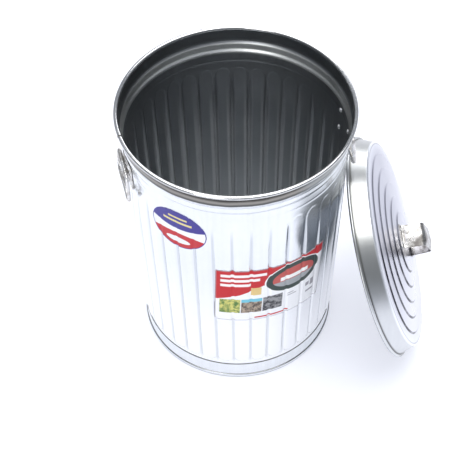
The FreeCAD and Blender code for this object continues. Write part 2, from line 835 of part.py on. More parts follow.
def check_and_export():
    for item in doc.Objects:
        if "Invalid" in item.State or "Error" in item.State:
            raise RuntimeError(f"{item.Label} failed: {item.State}")
    os.makedirs("parts", exist_ok=True)
    for item in SUB_PARTS:
        shape = item.Shape
        if shape.isNull() or not shape.isValid():
            raise RuntimeError(f"{item.Label} has no valid shape")
        box = shape.BoundBox
        print(f"{item.Label:20s} solids {len(shape.Solids)} volume {shape.Volume:10.0f} "
              f"x {box.XMin:7.1f} {box.XMax:7.1f} y {box.YMin:7.1f} {box.YMax:7.1f} "
              f"z {box.ZMin:7.1f} {box.ZMax:7.1f}")
        shape.exportStep(f"parts/{item.Label}.step")


build()
check_and_export()
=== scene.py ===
import math

import bmesh
import bpy
import numpy as np
from mathutils import Matrix, Vector


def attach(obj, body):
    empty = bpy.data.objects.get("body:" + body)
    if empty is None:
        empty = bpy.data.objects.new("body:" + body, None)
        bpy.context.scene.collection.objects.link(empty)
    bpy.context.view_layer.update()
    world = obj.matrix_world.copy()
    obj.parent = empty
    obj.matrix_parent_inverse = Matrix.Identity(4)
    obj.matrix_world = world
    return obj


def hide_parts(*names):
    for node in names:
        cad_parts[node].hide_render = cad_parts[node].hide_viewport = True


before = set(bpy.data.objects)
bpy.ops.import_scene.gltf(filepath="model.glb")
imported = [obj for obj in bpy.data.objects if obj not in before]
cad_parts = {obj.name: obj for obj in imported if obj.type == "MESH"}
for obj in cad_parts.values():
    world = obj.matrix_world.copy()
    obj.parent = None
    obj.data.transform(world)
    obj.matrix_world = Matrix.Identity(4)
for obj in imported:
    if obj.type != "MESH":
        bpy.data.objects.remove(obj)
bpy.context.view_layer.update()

# Lengths below are millimetres until a mesh is made; MM turns them into metres.
MM = 0.001
TURN = 2 * math.pi

# ---- sizes, as in the CAD model

BODY_HEIGHT = 577.0
BODY_SHEET_TOP = 571.0
GAUGE = 0.8
FOOT_HEIGHT = 2.0
FOOT_RADIUS = 192.5
BAND_TOP = 520.0
BAND_TOP_RADIUS = 203.5
LOWER_STEP = 3.1
UPPER_STEP = 3.0
UPPER_STEP_START = 537.0
STEP_RUN = 10.0
SHOULDER_HEIGHT = 502.0
SHOULDER_DEPTH = 0.45
SHOULDER_WIDTH = 1.6
MARK_AZIMUTHS = (5.6, -32.5)
MARK_HEIGHT = 518.0
MARK_DEPTH = 1.1
MARK_REACH = 4.0
MARK_BOW = 0.08
CURL_RADIUS = 3.75
CURL_CENTRE = 212.25
FLUTE_COUNT = 37
PITCH = 360.0 / FLUTE_COUNT
FIRST_FLUTE = 2.14
FLUTE_DEPTH = 2.8
FLUTE_ROUND = 8.0
FLUTE_HALF_ANGLE = math.radians(4.35)
FLUTE_TOP = 483.0
PLATE_FLUTE_TOP = 446.0
FLUTE_BOTTOM = 58.0
FLUTE_FADE = 22.0
CREST_FADE = 95.0
FAINT_CREST = 0.12
LEFT_FLUTE = 29
RIGHT_FLUTE = 10
LEFT_AZIMUTH = FIRST_FLUTE + LEFT_FLUTE * PITCH
RIGHT_AZIMUTH = FIRST_FLUTE + RIGHT_FLUTE * PITCH
SEAM_AZIMUTH = FIRST_FLUTE + (LEFT_FLUTE + 0.5) * PITCH
SEAM_HALF_WIDTH = 3.6
SEAM_RISE = 0.35
SEAM_TOP = 545.0
NICK_HALF_WIDTH = 1.2
HOOP_HEIGHT = 45.0
HOOP_BEAD_HEIGHT = 8.0
HOOP_GAUGE = 0.85
PAN_HEIGHT = 22.0
PAN_STEP_HEIGHT = 20.4
PAN_STEP_RADII = (58.0, 62.0, 138.0, 142.0)
KNUCKLE_HEIGHT = 488.0
KNUCKLE_RADIUS = 209.8
KNUCKLE_HALF_WIDTH = 31.0
PLATE_GAP = 0.8
PLATE_GAUGE = 1.2
PLATE_LOW = 451.0
PLATE_HIGH = 512.0
PLATE_HALF_WIDTH = 37.0
RIVET_HEIGHTS = (504.0, 461.0)
RIVET_ANGLE = math.radians(8)
RIVET_RADIUS = 4.6
BAIL_DROP = 49.0
BAIL_WIRE = 3.2
BAIL_HANG = math.radians(-2.4)
LID_HEM = 222.5
LID_TUBE = 3.2
LID_SHOULDER = 204.4
LID_SHOULDER_HEIGHT = 37.3
LID_CROWN = 56.3
LID_LEAN = math.radians(20.5)
LID_AZIMUTH = 86.7
LID_TURN = math.radians(25.5)
LID_STAND_OFF = 281.4
LID_SIDE_SHIFT = -8.6
RING_COUNT = 5
RING_FIRST = 61.0
RING_PITCH = 30.0
RING_STEP = 2.2
STRAP_HALF_WIDTH = 23.0
STRAP_GAUGE = 1.6
STRAP_RIDGE = 3.0
STRAP_RIVET_RADIUS = 3.7
PAPER_RADIUS = 203.0
LABEL_AZIMUTH = 18.9
LABEL_HEIGHT = 283.0
LABEL_TILT = math.radians(2)
LABEL_HALF_WIDTH = 105.0
LABEL_HALF_HEIGHT = 78.0
STICKER_AZIMUTH = -30.9
STICKER_HEIGHT = 450.0
STICKER_HALF_WIDTH = 55.0
STICKER_HALF_HEIGHT = 47.0


def band_radius(height):
    """Outer radius of the plain tapered wall."""
    return FOOT_RADIUS + (BAND_TOP_RADIUS - FOOT_RADIUS) * height / BAND_TOP


def smooth_step(x):
    """Runs from 0 to 1 while x does, level at both ends."""
    x = np.clip(x, 0, 1)
    return x * x * (3 - 2 * x)


def smooth_max(a, b, width):
    """The larger of two arrays, with their meeting rounded over a width."""
    share = np.clip(0.5 + 0.5 * (a - b) / width, 0, 1)
    return b * (1 - share) + a * share + width * share * (1 - share) * 0.5


def crest_depth(height, top=FLUTE_TOP):
    """How far the levelled crest of a flute stands out: less and less towards its top."""
    return FLUTE_DEPTH * (FAINT_CREST + (1 - FAINT_CREST) * smooth_step((top - height) / CREST_FADE))


def arc_from(azimuth, middle, radius):
    """Signed length along the wall from the azimuth called middle."""
    return np.radians(np.mod(azimuth - middle + 180, 360) - 180) * radius


def plain_radius(height):
    """Wall without flutes: taper, two swaged steps in the neck and the shoulder crease."""
    radius = band_radius(np.minimum(height, BAND_TOP))
    radius = radius + LOWER_STEP * smooth_step((height - BAND_TOP) / STEP_RUN)
    radius = radius + UPPER_STEP * smooth_step((height - UPPER_STEP_START) / STEP_RUN)
    return radius - SHOULDER_DEPTH * np.exp(-((height - SHOULDER_HEIGHT) / SHOULDER_WIDTH) ** 2)


def lobe_radius(azimuth, height, top):
    """Round bars of the flutes: a circular section that shrinks to a point at both ends."""
    level = band_radius(0.5 * (FLUTE_TOP + FLUTE_BOTTOM))
    rise = level + FLUTE_ROUND - level * math.cos(FLUTE_HALF_ANGLE)
    section = (rise ** 2 + (level * math.sin(FLUTE_HALF_ANGLE)) ** 2) / (2 * rise)
    sink = FLUTE_ROUND - section
    half_chord = math.sqrt(section ** 2 - sink ** 2)
    turn = (azimuth - FIRST_FLUTE) / PITCH
    away = np.radians((turn - np.round(turn)) * PITCH)
    held = np.clip(height, FLUTE_BOTTOM + half_chord, top - FLUTE_FADE)
    beyond = np.abs(height - held) * np.where(height > held, half_chord / FLUTE_FADE, 1)
    centre = band_radius(held) + sink
    inside = section ** 2 - beyond ** 2 - (centre * np.sin(away)) ** 2
    lobe = centre * np.cos(away) + np.sqrt(np.maximum(inside, 0))
    return np.where(inside > 0, lobe, level * 0.9)


def wall_radius(azimuth, height):
    """Outer radius of the fluted wall, with its seam, two small dents and a slight unevenness."""
    azimuth, height = np.broadcast_arrays(np.asarray(azimuth, float), np.asarray(height, float))
    number = np.mod(np.round((azimuth - FIRST_FLUTE) / PITCH), FLUTE_COUNT)
    under_plate = (np.abs(number - LEFT_FLUTE) <= 1) | (np.abs(number - RIGHT_FLUTE) <= 1)
    top = np.where(under_plate, PLATE_FLUTE_TOP, FLUTE_TOP)
    lobe = lobe_radius(azimuth, height, top)
    levelled = -smooth_max(-lobe, -(band_radius(height) + crest_depth(height, top)), 1.6)
    radius = smooth_max(levelled, plain_radius(height), 0.8)

    seam = smooth_step((SEAM_HALF_WIDTH - np.abs(arc_from(azimuth, SEAM_AZIMUTH, 200))) / 0.7)
    radius = radius + SEAM_RISE * seam * (height < SEAM_TOP)
    for mark in MARK_AZIMUTHS:
        offset = arc_from(azimuth, mark, 204)
        arch = (height - MARK_HEIGHT + MARK_BOW * offset ** 2) / 1.5
        radius = radius - MARK_DEPTH * np.exp(-(offset / MARK_REACH) ** 2 - arch ** 2)
    theta = np.radians(azimuth)
    waviness = 0.10 * np.sin(3 * theta + 1) * np.sin(height / 90)
    waviness = waviness + 0.06 * np.sin(8 * theta + 2.1) * np.sin(height / 47 + 1)
    return radius + waviness * smooth_step((560 - height) / 30) * smooth_step(height / 40)


# ---- material building blocks

def math_step(operation):
    """Method that feeds a number, and another where one is given, to a math node."""
    def step(self, other=None):
        node = self.tree.nodes.new("ShaderNodeMath")
        node.operation = operation
        for slot, item in enumerate((self, other)):
            if isinstance(item, Wire):
                self.tree.links.new(item.socket, node.inputs[slot])
            elif item is not None:
                node.inputs[slot].default_value = item
        return Wire(self.tree, node.outputs[0])
    return step


class Wire:
    """A number inside a material's node tree, with ordinary arithmetic."""

    def __init__(self, tree, socket):
        self.tree = tree
        self.socket = socket

    __add__ = math_step("ADD")
    __sub__ = math_step("SUBTRACT")
    __mul__ = math_step("MULTIPLY")
    __truediv__ = math_step("DIVIDE")
    power = math_step("POWER")
    larger = math_step("MAXIMUM")
    smaller = math_step("MINIMUM")
    sine = math_step("SINE")
    size = math_step("ABSOLUTE")
    # Angle in radians whose tangent is this number over the other.
    angle_from = math_step("ARCTAN2")

    def ramp(self, low, high, start=0.0, stop=1.0):
        """Runs smoothly from start to stop while this number runs from low to high."""
        node = self.tree.nodes.new("ShaderNodeMapRange")
        node.interpolation_type = "SMOOTHSTEP"
        self.tree.links.new(self.socket, node.inputs["Value"])
        node.inputs["From Min"].default_value = low
        node.inputs["From Max"].default_value = high
        node.inputs["To Min"].default_value = start
        node.inputs["To Max"].default_value = stop
        return Wire(self.tree, node.outputs["Result"])


class Finish:
    """A material with a Principled shader and handy access to its pattern nodes."""

    def __init__(self, name, metallic):
        self.material = bpy.data.materials.new(name)
        self.material.use_nodes = True
        self.tree = self.material.node_tree
        self.shader = self.tree.nodes["Principled BSDF"]
        self.place = self.tree.nodes.new("ShaderNodeTexCoord")
        self.hold("Metallic", metallic)

    def hold(self, name, value):
        """Sets a constant on the shader."""
        self.shader.inputs[name].default_value = value

    def axes(self, output="Object"):
        split = self.tree.nodes.new("ShaderNodeSeparateXYZ")
        self.tree.links.new(self.place.outputs[output], split.inputs[0])
        return [Wire(self.tree, socket) for socket in split.outputs]

    def stretched(self, scale):
        node = self.tree.nodes.new("ShaderNodeMapping")
        node.inputs["Scale"].default_value = scale
        self.tree.links.new(self.place.outputs["Object"], node.inputs["Vector"])
        return node.outputs[0]

    def noise(self, scale, detail=3.0, stretch=(1, 1, 1)):
        node = self.tree.nodes.new("ShaderNodeTexNoise")
        node.inputs["Scale"].default_value = scale
        node.inputs["Detail"].default_value = detail
        self.tree.links.new(self.stretched(stretch), node.inputs["Vector"])
        return Wire(self.tree, node.outputs["Fac"])

    def cells(self, scale):
        """Random level for each cell of a cell pattern."""
        node = self.tree.nodes.new("ShaderNodeTexVoronoi")
        node.inputs["Scale"].default_value = scale
        self.tree.links.new(self.place.outputs["Object"], node.inputs["Vector"])
        split = self.tree.nodes.new("ShaderNodeSeparateColor")
        self.tree.links.new(node.outputs["Color"], split.inputs[0])
        return Wire(self.tree, split.outputs[0])

    def mix(self, share, first, second):
        """Colour that runs from the first to the second with share."""
        node = self.tree.nodes.new("ShaderNodeMix")
        node.data_type = "RGBA"
        inputs = {item.identifier: item for item in node.inputs}
        self.tree.links.new(share.socket, inputs["Factor_Float"])
        for key, item in (("A_Color", first), ("B_Color", second)):
            if isinstance(item, tuple):
                inputs[key].default_value = (*item, 1)
            else:
                self.tree.links.new(item, inputs[key])
        return [item for item in node.outputs if item.identifier == "Result_Color"][0]

    def set(self, name, item):
        socket = item.socket if isinstance(item, Wire) else item
        self.tree.links.new(socket, self.shader.inputs[name])

    def bump(self, height, depth):
        node = self.tree.nodes.new("ShaderNodeBump")
        node.inputs["Strength"].default_value = 1.0
        node.inputs["Distance"].default_value = depth
        self.tree.links.new(height.socket, node.inputs["Height"])
        self.tree.links.new(node.outputs[0], self.shader.inputs["Normal"])


def galvanised(name, colour, dull, roughness, shade=None, swell=0.00012):
    """Zinc-coated sheet: faint spangle, slow cloudiness and drawing lines."""
    finish = Finish(name, 1.0)
    spangle = finish.cells(120)
    cloud = finish.noise(9, 4)
    drawn = finish.noise(14, 3, (9, 9, 0.35))
    level = spangle * 0.08 + cloud * 0.40 + drawn * 0.52
    tone = finish.mix(level.ramp(0.25, 0.8), dull, colour)
    if shade is not None:
        tone = shade(finish, tone)
    finish.set("Base Color", tone)
    finish.set("Roughness", cloud.ramp(0.3, 0.75, roughness - 0.01, roughness + 0.07))
    finish.bump(finish.noise(22, 1), swell)
    return finish.material


def plated(name, colour, worn, roughness):
    """Bright plated fitting with rubbed spots and dark specks."""
    finish = Finish(name, 1.0)
    rub = finish.noise(60, 5)
    fleck = finish.noise(420, 3)
    grain = finish.noise(1500, 2)
    tone = finish.mix(rub.ramp(0.42, 0.66), colour, worn)
    tone = finish.mix(fleck.ramp(0.62, 0.74, 0, 0.45), tone, (0.16, 0.14, 0.12))
    finish.set("Base Color", tone)
    finish.set("Roughness", rub.ramp(0.3, 0.7, roughness - 0.05, roughness + 0.12) + grain * 0.05)
    finish.bump(grain * 0.4 + fleck * 0.6 + rub, 0.00022)
    return finish.material


# ---- mesh building blocks

def outward(azimuth):
    """Level unit vector that points away from the bin's axis at an azimuth in degrees."""
    angle = math.radians(azimuth)
    return Vector((math.sin(angle), -math.cos(angle), 0))


def facing(azimuth, radius=0.0, height=0.0):
    """Matrix whose X runs round the bin and -Y points outward, placed on the wall."""
    move = outward(azimuth) * radius + Vector((0, 0, height))
    return Matrix.Translation(move) @ Matrix.Rotation(math.radians(azimuth), 4, "Z")


def add_object(name, data):
    thing = bpy.data.objects.new(name, data)
    bpy.context.scene.collection.objects.link(thing)
    return thing


def make_piece(name, points, faces, material, body, replaced, matrix=None, crease=38):
    """Mesh object from points in millimetres that stands for a CAD node."""
    mesh = bpy.data.meshes.new(name)
    mesh.from_pydata([tuple(float(number) for number in point) for point in points], [], faces)
    if matrix is not None:
        mesh.transform(matrix)
    mesh.transform(Matrix.Scale(MM, 4))
    work = bmesh.new()
    work.from_mesh(mesh)
    bmesh.ops.remove_doubles(work, verts=work.verts, dist=1e-6)
    bmesh.ops.recalc_face_normals(work, faces=work.faces)
    work.to_mesh(mesh)
    work.free()
    mesh.shade_smooth()
    mesh.set_sharp_from_angle(angle=math.radians(crease))
    piece = add_object(name, mesh)
    piece.data.materials.append(material)
    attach(piece, body)
    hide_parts(replaced)
    return piece


def line_with(piece, material):
    """Gives a second material to the faces that look toward the bin's axis."""
    piece.data.materials.append(material)
    for face in piece.data.polygons:
        if face.center.x * face.normal.x + face.center.y * face.normal.y < 0:
            face.material_index = 1


def join_parts(parts):
    """One list of points and faces from several."""
    points = []
    faces = []
    for part_points, part_faces in parts:
        start = len(points)
        points += list(part_points)
        faces += [tuple(start + index for index in face) for face in part_faces]
    return points, faces


def placed(part, matrix):
    points, faces = part
    return [tuple(matrix @ Vector(point)) for point in points], faces


def rounded(corners, steps=6, closed=True):
    """Polyline with its corners (x, y, radius) rounded."""
    result = []
    count = len(corners)
    for index, (x, y, radius) in enumerate(corners):
        end = not closed and index in (0, count - 1)
        if radius <= 0 or end:
            result.append((x, y))
            continue
        here = Vector((x, y))
        back = (Vector(corners[index - 1][:2]) - here).normalized()
        ahead = (Vector(corners[(index + 1) % count][:2]) - here).normalized()
        half = back.angle(ahead) / 2
        centre = here + (back + ahead).normalized() * (radius / math.sin(half))
        first = here + back * (radius / math.tan(half)) - centre
        last = here + ahead * (radius / math.tan(half)) - centre
        sweep = first.angle(last)
        for step in range(steps + 1):
            share = step / steps
            arm = first * math.sin((1 - share) * sweep) + last * math.sin(share * sweep)
            result.append(tuple(centre + arm / math.sin(sweep)))
    return result


def circle(x, y, radius, start, stop, steps):
    """Points of an arc between two angles in degrees."""
    angles = [math.radians(start + (stop - start) * step / steps) for step in range(steps + 1)]
    return [(x + radius * math.cos(angle), y + radius * math.sin(angle)) for angle in angles]


def lathe(profile, steps, closed, start=0.0, stop=360.0):
    """Turns a profile of (radius, height) about Z, all the way or between two azimuths."""
    whole = stop - start >= 360
    columns = steps if whole else steps + 1
    points = []
    for column in range(columns):
        angle = math.radians(start + (stop - start) * column / steps)
        points += [(r * math.sin(angle), -r * math.cos(angle), z) for r, z in profile]
    width = len(profile)
    spans = width if closed else width - 1
    faces = []
    for column in range(steps):
        first = column * width
        second = ((column + 1) % columns) * width
        for row in range(spans):
            after = (row + 1) % width
            faces.append((first + row, second + row, second + after, first + after))
    if not whole:
        faces.append(tuple(range(width)))
        faces.append(tuple(reversed(range((columns - 1) * width, columns * width))))
    return points, faces


def sweep(stations, closed):
    """Skin over stations, each a list of points of one section."""
    width = len(stations[0])
    points = [point for station in stations for point in station]
    count = len(stations)
    faces = []
    for index in range(count if closed else count - 1):
        first = index * width
        second = ((index + 1) % count) * width
        for row in range(width):
            after = (row + 1) % width
            faces.append((first + row, second + row, second + after, first + after))
    if not closed:
        faces.append(tuple(range(width)))
        faces.append(tuple(reversed(range((count - 1) * width, count * width))))
    return points, faces


def skin(outer, inner):
    """Closed thin sheet from two grids of points, outer and inner, of the same shape."""
    rows, columns = outer.shape[:2]
    points = list(outer.reshape(-1, 3)) + list(inner.reshape(-1, 3))
    back = rows * columns
    faces = []
    for row in range(rows - 1):
        for column in range(columns - 1):
            a = row * columns + column
            b = a + columns
            faces.append((a, a + 1, b + 1, b))
            faces.append((back + a, back + b, back + b + 1, back + a + 1))
    border = list(range(columns))
    border += [row * columns + columns - 1 for row in range(1, rows)]
    border += [(rows - 1) * columns + column for column in range(columns - 2, -1, -1)]
    border += [row * columns for row in range(rows - 2, 0, -1)]
    for index, here in enumerate(border):
        after = border[(index + 1) % len(border)]
        faces.append((here, back + here, back + after, after))
    return points, faces


def on_wall(azimuth, radius, height):
    """Points at azimuths in degrees, radii and heights, as one array."""
    theta, radius, height = np.broadcast_arrays(np.radians(azimuth), radius, height)
    return np.stack([radius * np.sin(theta), -radius * np.cos(theta), height], axis=-1)


# ---- materials

# Heights, radii and widths in the materials are metres, as the meshes are.

# Grey of the painted shade line over the hoop.
PAINTED_SHADE_GREY = (0.12, 0.12, 0.12)


def line_at(number, place, inner, outer, share):
    """A soft line: share where the number is within inner of the place, 0 beyond outer."""
    return (number - place).size().ramp(inner, outer, share, 0.0)


def flute_phase(x, y, shift):
    """Angle that runs once round for each flute, shifted by some degrees."""
    return x.angle_from(y * -1) * FLUTE_COUNT + math.radians(shift - FLUTE_COUNT * FIRST_FLUTE)


def neck_painted_shade(finish, tone, x, y, z):
    """Painted shade and painted dark reflection under the curl: grey-brown, dark at both edges."""
    level = z + finish.noise(30, 3) * 0.004
    radius = (x * x + y * y).power(0.5)
    neck = level.ramp(0.5475, 0.5510) * z.ramp(0.5690, 0.5715, 1, 0) * radius.ramp(0.2088, 0.2094)
    neck_shade = finish.mix(level.ramp(0.5510, 0.5570), (0.05, 0.05, 0.048), (0.24, 0.225, 0.205))
    neck_shade = finish.mix(level.ramp(0.5580, 0.5640), neck_shade, (0.03, 0.026, 0.022))
    return finish.mix(neck * 0.96, tone, neck_shade)


def wall_painted_shading(finish, tone):
    """Outer wall: painted shade under the curl, painted light low down, a painted dark reflection on the
    flank towards the lid, painted shade in the creases and a painted shade line over the hoop.
    """
    x, y, z = finish.axes()
    tone = neck_painted_shade(finish, tone, x, y, z)
    # Painted light: the wall lighter low down.
    tone = finish.mix(z.ramp(0.38, 0.08) * 0.7, tone, (0.98, 0.98, 0.98))
    # Painted dark reflection on the flank that faces the lid.
    turn = x.angle_from(y * -1)
    painted_flank_reflection = turn.ramp(0.47, 0.66) * turn.ramp(1.08, 1.31, 1, 0) * z.ramp(0.20, 0.32)
    tone = finish.mix(painted_flank_reflection * 0.45, tone, (0.28, 0.31, 0.32))
    # Painted shade in the creases between flutes.
    crease = flute_phase(x, y, 90).sine().ramp(-0.82, -0.98)
    crease = crease * z.ramp(0.050, 0.070) * z.ramp(0.482, 0.440)
    tone = finish.mix(crease * 0.34, tone, (0.30, 0.33, 0.38))
    # Painted shade line on the wall just over the hoop.
    return finish.mix(line_at(z, 0.0462, 0.0004, 0.0016, 0.85), tone, PAINTED_SHADE_GREY)


def seam_painted_shade(finish, tone):
    """Painted shade: dark ends of the curl at the gap by the side seam."""
    x, y, _ = finish.axes()
    turn = x.angle_from(y * -1)
    mark = line_at(turn, math.radians(SEAM_AZIMUTH - 360), 0.007, 0.010, 0.95)
    return finish.mix(mark, tone, (0.03, 0.03, 0.03))


def hoop_painted_shade_lines(finish, tone):
    """Painted shade lines: on the hoop's upper edge, over its bead and at the floor."""
    z = finish.axes()[2]
    top = line_at(z, 0.0449, 0.0003, 0.0011, 0.85)
    bead = line_at(z, 0.0088, 0.0004, 0.0016, 0.8)
    floor = z.ramp(0.0008, 0.0040, 0.75, 0.0)
    return finish.mix(top.larger(bead).larger(floor), tone, (0.10, 0.10, 0.10))


def lid_axes(finish):
    """Position in the lid's own axes."""
    matrix = lid_matrix().inverted()
    local = []
    for row in range(3):
        node = finish.tree.nodes.new("ShaderNodeVectorMath")
        node.operation = "DOT_PRODUCT"
        finish.tree.links.new(finish.place.outputs["Object"], node.inputs[0])
        node.inputs[1].default_value = matrix[row][:3]
        local.append(Wire(finish.tree, node.outputs["Value"]) + matrix[row][3] * MM)
    return local


def ring_painted_shade(finish, along, across, radius):
    """Painted shade in the corners of the pressed rings, heavier on the side that faces the front."""
    forward = (along * -math.cos(LID_TURN) + across * math.sin(LID_TURN)) / radius.larger(0.02)
    uneven = finish.noise(35, 3).ramp(0.3, 0.6, 0.6, 1.0)
    band = line_at(radius, RING_FIRST * MM, 0.0015, 0.0024, 1.0)
    for index in range(1, RING_COUNT):
        band = band.larger(line_at(radius, (RING_FIRST + RING_PITCH * index) * MM, 0.0015, 0.0024, 1.0))
    return band * forward.ramp(0.35, 0.80) * uneven


def lid_painted_shading(finish, tone):
    """Lid: painted shade that greys the top, lighter lower down; painted shade in the ring corners, at the
    lip and at the shoulder; two painted dark reflections on the skirt; a painted dark reflection on the hem
    edge.
    """
    along, across, height = lid_axes(finish)
    radius = (along * along + across * across).power(0.5)
    upright = finish.axes()[2]
    # Painted shade: greys the pressed top, darker higher up, lighter lower down.
    pressed = finish.mix(upright.ramp(0.34, 0.12), (0.38, 0.38, 0.44), (0.64, 0.64, 0.70))
    tone = finish.mix(height.ramp(0.036, 0.039) * 0.9, tone, pressed)
    on_top = height.ramp(0.030, 0.036)
    # Painted shade in the ring corners, at the lip and at the shoulder.
    face = ring_painted_shade(finish, along, across, radius) * on_top
    lip = line_at(radius, 0.2171, 0.0005, 0.0018, 0.9) * height.ramp(0.0035, 0.0050)
    shoulder = line_at(radius, 0.2010, 0.0004, 0.0016, 0.45) * on_top
    tone = finish.mix(face.larger(lip).larger(shoulder), tone, (0.035, 0.035, 0.045))

    # Two painted dark reflections on the skirt, at set heights.
    level = upright + finish.noise(12, 3) * 0.03
    low_painted_reflection = (level - 0.080).size().ramp(0.015, 0.050, 0.78, 0.35)
    high_painted_reflection = (level - 0.380).size().ramp(0.030, 0.090, 0.74, 0.35)
    skirt = height.ramp(0.036, 0.033) * radius.ramp(0.200, 0.204)
    tone = finish.mix(low_painted_reflection.larger(high_painted_reflection) * skirt, tone, (0.22, 0.22, 0.20))
    # Painted dark reflection on the edge of the hem.
    hem = height.ramp(0.0022, 0.0008) * radius.ramp(0.2165, 0.2175)
    return finish.mix(hem * 0.85, tone, (0.10, 0.10, 0.10))


def inside_patches_and_painted_light(finish, tone):
    """Inner wall: random patches; painted shade high up, painted light low down, painted shade on one side
    of each flute, a painted highlight ring, painted shade in the bottom corner and at the neck.
    """
    x, y, z = finish.axes()
    patchy = finish.noise(5, 2).ramp(0.3, 0.7, 0.05, 0.25)
    tone = finish.mix(patchy, tone, (0.40, 0.43, 0.46))
    # Painted shade on one side of each flute.
    fluted = z.ramp(0.470, 0.340) * z.ramp(0.050, 0.065)
    shaded = flute_phase(x, y, 70).sine().ramp(-0.35, 0.35)
    tone = finish.mix(shaded * fluted * 0.60, tone, (0.20, 0.22, 0.24))
    # Painted light low down.
    tone = finish.mix(z.ramp(0.30, 0.03) * 0.25, tone, (0.92, 0.94, 0.96))
    # Painted shade high up.
    tone = finish.mix(z.ramp(0.30, 0.46) * 0.62, tone, (0.17, 0.18, 0.20))
    # Painted shade in the bottom corner, over the pan.
    tone = finish.mix(z.ramp(0.027, 0.024) * 0.8, tone, (0.20, 0.21, 0.22))
    # Painted highlight: a bright ring at the bead.
    tone = finish.mix(line_at(z, 0.530, 0.009, 0.013, 0.9), tone, (0.95, 0.96, 0.94))
    # Painted shade at the neck.
    return finish.mix(z.ramp(0.546, 0.552) * 0.7, tone, (0.16, 0.17, 0.18))


WALL_FINISH = galvanised("galvanised_wall", (0.78, 0.80, 0.83), (0.71, 0.735, 0.77), 0.17, wall_painted_shading)
# Inner metal: a darker copy of the wall's metal, painted shade, and rougher.
SHADED_INSIDE_FINISH = galvanised("galvanised_inside_painted_shade", (0.60, 0.61, 0.61), (0.50, 0.51, 0.52), 0.34,
                           inside_patches_and_painted_light, 0.00002)
# Lid underside: a darker copy of the lid's metal, painted shade.
SHADED_UNDERSIDE_FINISH = galvanised("galvanised_underside_painted_shade", (0.40, 0.43, 0.46), (0.30, 0.33, 0.36), 0.26)
CURL_FINISH = galvanised("galvanised_curl", (0.66, 0.66, 0.66), (0.50, 0.50, 0.50), 0.14, seam_painted_shade)
BASE_FINISH = galvanised("galvanised_base", (0.84, 0.86, 0.88), (0.76, 0.78, 0.80), 0.20, hoop_painted_shade_lines)
WIRE_FINISH = plated("plated_wire", (0.72, 0.71, 0.70), (0.45, 0.42, 0.39), 0.22)
FITTING_FINISH = plated("plated_fitting", (0.76, 0.75, 0.74), (0.46, 0.44, 0.41), 0.20)
# Rivets: a brighter copy of the plated metal, painted light.
LIT_RIVET_FINISH = plated("rivet_metal_painted_light", (0.96, 0.96, 0.96), (0.80, 0.79, 0.78), 0.42)
# Strap: a darker copy of the plated metal, painted shade.
SHADED_STRAP_FINISH = plated("strap_metal_painted_shade", (0.42, 0.41, 0.40), (0.16, 0.15, 0.14), 0.20)


# ---- bin body

def wall_columns():
    """Azimuths that crowd together in the creases between flutes."""
    steps = 16
    columns = []
    for flute in range(FLUTE_COUNT):
        for step in range(steps):
            share = -1 + 2 * step / steps
            spread = 0.5 * (0.55 * share + 0.45 * math.copysign(1 - (1 - abs(share)) ** 1.8, share))
            columns.append(FIRST_FLUTE + (flute + spread) * PITCH)
    return np.array(columns)


def wall_rows(top):
    """Heights that crowd together where the wall bends."""
    rows = np.concatenate([
        np.arange(FOOT_HEIGHT, 56, 6), np.arange(56, 78, 1.6), np.arange(78, 420, 11),
        np.arange(420, 487, 1.6), np.arange(487, 499, 2.5), np.arange(499, 505, 0.8),
        np.arange(505, 514, 2.5), np.arange(514, 550, 1.0), np.arange(550, top, 4)])
    return np.append(rows, top)


def build_body():
    azimuth = wall_columns()[None, :]
    rows = wall_rows(BODY_SHEET_TOP)[:, None]
    radius = wall_radius(azimuth, rows)
    outside = on_wall(azimuth, radius, rows)
    inside = on_wall(azimuth, radius - GAUGE, rows)
    sections = np.concatenate([outside, inside[::-1]]).swapaxes(0, 1)
    wall = make_piece("fluted_wall", *sweep(sections, True), WALL_FINISH, "can", "body_shell", crease=50)
    line_with(wall, SHADED_INSIDE_FINISH)

    nick = math.degrees(NICK_HALF_WIDTH / CURL_CENTRE)
    ring = circle(CURL_CENTRE, BODY_HEIGHT - CURL_RADIUS, CURL_RADIUS, 0, 345, 23)
    curl = lathe(ring, 360, True, SEAM_AZIMUTH + nick, SEAM_AZIMUTH + 360 - nick)
    piece = make_piece("rim_roll", *curl, CURL_FINISH, "can", "body_shell")


def build_base():
    seat = 0.06
    high = band_radius(HOOP_HEIGHT)
    bead = band_radius(HOOP_BEAD_HEIGHT) + HOOP_GAUGE
    low = band_radius(FOOT_HEIGHT) + seat
    hoop = rounded([
        (190.4, 0, 0.8), (195.4, 0, 1.6), (195.4, HOOP_BEAD_HEIGHT, 1.6),
        (bead, HOOP_BEAD_HEIGHT + 0.6, 0.5), (high + HOOP_GAUGE, HOOP_HEIGHT, 0.4),
        (high + seat, HOOP_HEIGHT, 0), (low, 1.95, 0), (190.4, 1.95, 0.4)], 5)
    piece = make_piece("foot_hoop", *lathe(hoop, 288, True), BASE_FINISH, "can", "base_hoop")

    step_heights = (PAN_HEIGHT, PAN_STEP_HEIGHT, PAN_STEP_HEIGHT, PAN_HEIGHT)
    steps = [(radius, height, 3) for radius, height in zip(PAN_STEP_RADII, step_heights)]
    top = [(0.001, PAN_HEIGHT, 0)] + steps + [(191.6, PAN_HEIGHT, 5), (191.6, FOOT_HEIGHT, 0)]
    under = [(190.8, FOOT_HEIGHT, 0), (190.8, PAN_HEIGHT - GAUGE, 4.2)]
    under += [(radius, height - GAUGE, bend) for radius, height, bend in steps[::-1]]
    under += [(0.001, PAN_HEIGHT - GAUGE, 0)]
    pan = rounded(top + under, 5, closed=False)
    piece = make_piece("stepped_pan", *lathe(pan, 192, True), SHADED_INSIDE_FINISH, "can", "base_pan")


# ---- drop handles

